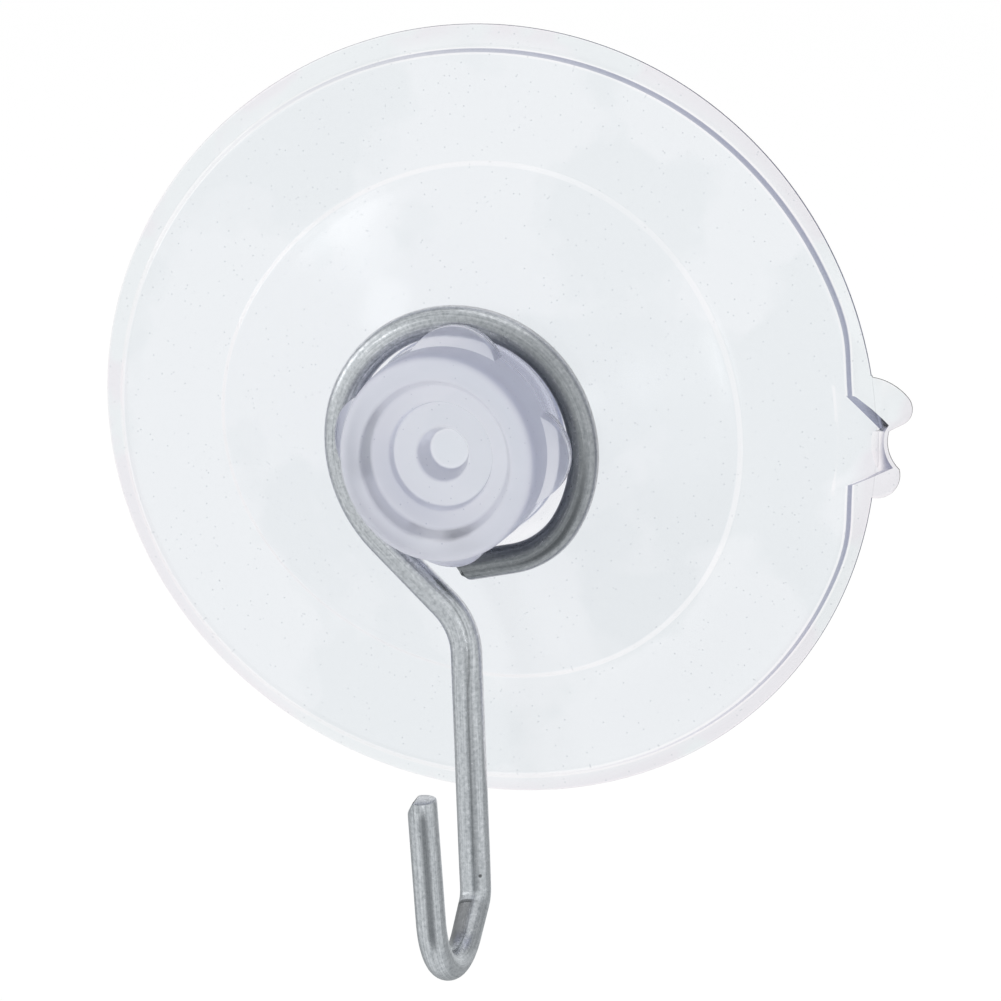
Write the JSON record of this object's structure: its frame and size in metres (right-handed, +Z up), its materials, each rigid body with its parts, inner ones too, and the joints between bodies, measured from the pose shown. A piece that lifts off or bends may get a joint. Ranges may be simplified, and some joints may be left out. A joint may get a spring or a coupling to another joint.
{
  "type": "suction cup",
  "caption": "Clear moulded suction cup with a stepped stem, snap lugs and a peeling tab, and a bent wire hook that swivels on the stem.",
  "frame": {"origin": "centre of the sealing rim, in the plane of the glass", "axes": "+Y into the glass along the stem's axis, +Z up with the hook hanging towards -Z, the peeling tab at +X"},
  "size_m": [0.0669, 0.0238, 0.0749],
  "materials": {
    "clear_pvc": "clear soft PVC with a light haze and a faint blue-violet tint at its edges",
    "zinc_wire": "drawn and galvanised wire, with fine streaks along its length"
  },
  "bodies": {
    "cup": {"suction_cup": "clear_pvc"},
    "hook": {"wire_hook": "zinc_wire"}
  },
  "joints": [
    {"name": "hook_swivel", "type": "hinge", "parent": "cup", "child": "hook", "pos_m": [0, -0.00945, 0], "axis": [0, -1, 0], "continuous": true}
  ]
}
